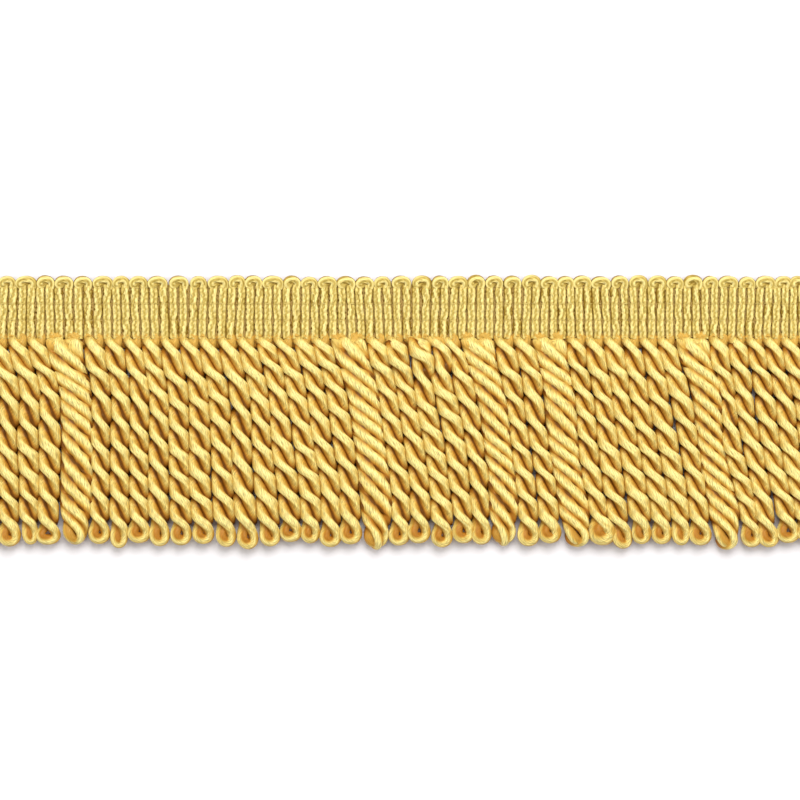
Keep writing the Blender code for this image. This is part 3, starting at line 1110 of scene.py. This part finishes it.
# %% Double cords
DOUBLE_ORBIT_ACROSS = 0.00285
DOUBLE_ORBIT_UP = 0.00125
DOUBLE_SQUASH = 2.2
DOUBLE_TURNS = (0.25, 0.71, 1.25, 1.71)
DOUBLE_QUARTER_TURN = 0.0042
DOUBLE_HALF_THICK = 0.00085
DOUBLE_HALF_WIDE = 0.00128
DOUBLE_SWELL = 0.60
DOUBLE_PRESSED = 0.4
DOUBLE_CORE = 0.00200
DOUBLE_PEAK = 2.2
DOUBLE_PLIES = 5
DOUBLE_GROOVE = 0.06
DOUBLE_SPIN = -0.6
DOUBLE_WINDING = (4.0, 8.0)
DOUBLE_TIP_ORBIT = 0.00195
DOUBLE_TIP_LENGTH = 0.0050
DOUBLE_TIP_REACH = 0.0046
DOUBLE_TIP_STAGGER = 0.2
# How far below the heading the painted shade of a double's strands grows to full.
DOUBLE_DEEP_LENGTH = 0.0048
DOUBLE_RING = (0, 12, 22, 30, 42, 50, 58, 66, 78, 90, 105, 130, 155, 180)
# Painted shade of a double's strands by degrees from outward: where two strands meet, dark soon past 30
# degrees; in front and at the sides, darker towards the flanks.
DOUBLE_SHADE = (
    (0, 12, 22, 30, 42, 50, 66, 78, 180),
    (0, 0.04, 0.30, 0.60, 0.86, 1.0, 1.0, 1.0, 1.0),
    (0, 0.0, 0.02, 0.06, 0.22, 0.42, 0.78, 0.86, 0.86),
)
ROOT_RING = 6


def double_cord(number, cord):
    """Two yarns of two strands each, on one wide flat helix, a quarter turn apart.

    At its root each strand starts from the rib that lies nearest, in the order of sin(twist) there.
    """
    depth = np.arange(-ROOT_HIDDEN, cord["drop"] - DOUBLE_TIP_REACH, STRAND_STEP)
    full = room(number, depth)
    opened = smooth(depth / OPENING_LENGTH)
    rising = smooth(depth / RISING_LENGTH)
    deep = smooth(depth / DOUBLE_DEEP_LENGTH)
    to_tip = smooth((depth - depth[-1] + DOUBLE_TIP_LENGTH) / DOUBLE_TIP_LENGTH)
    height = (DOUBLE_ORBIT_UP + DOUBLE_HALF_THICK) * full
    risen = mix(ROOT_HEIGHT, height, rising)
    across = mix(DOUBLE_ORBIT_ACROSS, DOUBLE_TIP_ORBIT, to_tip) * full
    orbit_up = DOUBLE_ORBIT_UP * full * rising
    thick = mix(mix(RIB_HALF_THICK, DOUBLE_HALF_THICK * full, opened), TIP_HALF_THICK, to_tip)
    core = mix(RIB_HALF_THICK, DOUBLE_CORE * full, opened)
    core = mix(core, TIP_HALF_THICK * TIP_CORE_SHARE, to_tip)
    wide = mix(RIB_HALF_WIDTH, DOUBLE_HALF_WIDE * full, opened)
    peak = 1 + (DOUBLE_PEAK - 1) * opened * (1 - to_tip)

    turned = (depth - FIRST_CROSSING) / DOUBLE_QUARTER_TURN * np.pi / 2 * cord["turn"]
    slack = cord["slack"] * np.sin(2 * np.pi * depth / cord["slack_length"] + cord["slack_start"])
    twists = [start * np.pi + turned + slack for start in DOUBLE_TURNS]
    order = np.argsort(np.argsort([np.sin(twist[ROOT_RING]) for twist in twists]))
    ribs_x = (order - (len(twists) - 1) / 2) * NOMINAL_SLOT_WIDTH * cord["fullness"] / 2
    ends = []
    widths = []
    fronts = []
    for twist, rib_x in zip(twists, ribs_x):
        ends.append(strand_path(cord, depth, twist, across, orbit_up, risen, rib_x, DOUBLE_SQUASH))
        swell = DOUBLE_SWELL * np.abs(np.sin(2 * twist)) + DOUBLE_PRESSED * np.clip(-np.cos(twist), 0, 1)
        widths.append(mix(wide * (1 + swell * opened), TIP_HALF_WIDE, to_tip))
        fronts.append(1 - np.abs(np.sin(2 * twist)))

    yarns = []
    for first, second in ((0, 2), (1, 3)):
        reach = DOUBLE_TIP_REACH * (1.0 - DOUBLE_TIP_STAGGER * first)
        path, outward = round_tip(*ends[first], *ends[second], reach)
        path[:, 2] = np.maximum(path[:, 2], TIP_HALF_WIDE)
        winding = np.linspace(0, chance.uniform(*DOUBLE_WINDING), len(path)) + chance.uniform(0, 2 * np.pi)
        yarns.append(
            carry(
                path, outward, there_and_back(thick, thick[-1]),
                there_and_back(widths[first], TIP_HALF_WIDE, widths[second]),
                DOUBLE_PLIES, DOUBLE_GROOVE, winding, DOUBLE_RING,
                inner=there_and_back(core, core[-1]), peak=there_and_back(peak, 1.0),
                shade=DOUBLE_SHADE, front=there_and_back(fronts[first], 1.0, fronts[second]),
                flank=there_and_back(deep * (1 - TIP_FLANK_LOSS * to_tip), TIP_FLANK),
                root=there_and_back(root_shade(depth, FRONT_SHADE_LENGTH), 0.0),
                top=there_and_back(2 * risen, 2 * risen[-1]), spin=DOUBLE_SPIN,
            )
        )
    return yarns


for number, cord in enumerate(cords):
    if cord["double"]:
        yarns = double_cord(number, cord)
        new_piece(f"cord_{number + 1:02d}", yarns, cord_satin_and_shade, "cord_yarn", "cord_skirt")
print("double cords", sum(cord["double"] for cord in cords))

# %% [markdown]
# The roots.
# Behind the cords' upper ends the yarn runs on into the heading as one narrow band. It gets painted
# shade all over, so it is seen only as a little brown between two cords, and it keeps light from
# falling through there.

# %% Root band
ROOT_BAND_BELOW = 0.0011
ROOT_BAND_HALF_WIDTH = 0.0014
ROOT_BAND_HALF_THICK = 0.0005
# Painted shade over the whole band.
ROOT_BAND_SHADE = 0.75
ROOT_BAND_RINGS = 93
ROOT_BAND_RING = 12


def root_band():
    """A flat straight yarn along the heading's lower edge, from the first slot to the last."""
    x = np.linspace(slot_edge(0), slot_edge(SLOT_COUNT), ROOT_BAND_RINGS)
    y = np.full(ROOT_BAND_RINGS, heading_low.y - ROOT_BAND_BELOW)
    z = np.full(ROOT_BAND_RINGS, ROOT_BAND_HALF_THICK)
    path = np.stack([x, y, z], axis=1)
    return carry(
        path, upward(ROOT_BAND_RINGS), ROOT_BAND_HALF_THICK, ROOT_BAND_HALF_WIDTH,
        plies=2, groove=0.0, winding=0.0, around=ROOT_BAND_RING, root=ROOT_BAND_SHADE,
    )


new_piece("root_band", [root_band()], cord_satin_and_shade, "cord_yarn", "cord_skirt")
print("root band", round(slot_edge(SLOT_COUNT) - slot_edge(0), 4), "long")

# %% [markdown]
# Floor and light.
# The trim lies on white card under a wide soft light that comes from beyond its top edge, so shadows
# fall just below the tips. Two pale walls send some of it back from the left and the right, which
# keeps the sides of the cords golden. The card is lit until it is white.

# %% Floor and lights
CARD_SIZE = 6.0
CARD_BELOW = 0.00005
CARD_COLOUR = (0.89, 0.87, 0.885, 1.0)
CARD_ROUGHNESS = 0.9
CARD_SHINE = 0.1
LIGHT_SIZE = 0.7
LIGHTS = (
    # name, place in metres, power in watts
    ("window beyond the top edge", (0.10, 0.60, 0.85), 9.5),
    ("pale wall on the left", (-0.85, 0.10, 0.60), 3.0),
    ("pale wall on the right", (0.85, 0.10, 0.60), 3.0),
)
WORLD_STRENGTH = 0.45

bpy.ops.mesh.primitive_plane_add(size=CARD_SIZE, location=(0, 0, -CARD_BELOW))
floor = bpy.context.object
floor.name = "floor"
card = bpy.data.materials.new("white card")
card.use_nodes = True
card_shader = card.node_tree.nodes["Principled BSDF"]
card_shader.inputs["Base Color"].default_value = CARD_COLOUR
card_shader.inputs["Roughness"].default_value = CARD_ROUGHNESS
card_shader.inputs["Specular IOR Level"].default_value = CARD_SHINE
floor.data.materials.append(card)
floor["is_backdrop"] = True


def soft_light(name, place, power):
    """A square area light that faces the middle of the trim."""
    data = bpy.data.lights.new(name, "AREA")
    data.shape = "SQUARE"
    data.size = LIGHT_SIZE
    data.energy = power
    light = bpy.data.objects.new(name, data)
    bpy.context.scene.collection.objects.link(light)
    light.location = place
    light.rotation_euler = (Vector((0, 0, 0)) - Vector(place)).to_track_quat("-Z", "Y").to_euler()


for light in LIGHTS:
    soft_light(*light)
world = bpy.data.worlds.new("studio")
bpy.context.scene.world = world
world.use_nodes = True
background = world.node_tree.nodes["Background"]
background.inputs["Color"].default_value = (1.0, 1.0, 1.0, 1.0)
background.inputs["Strength"].default_value = WORLD_STRENGTH
bpy.context.scene.view_settings.view_transform = "Standard"
print("lights", len(LIGHTS), "on a card", CARD_SIZE, "m wide")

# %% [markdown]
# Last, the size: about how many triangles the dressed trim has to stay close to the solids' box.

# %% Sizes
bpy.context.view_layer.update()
triangles = sum(len(piece.data.polygons) * 2 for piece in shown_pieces())
print("about", triangles, "triangles")
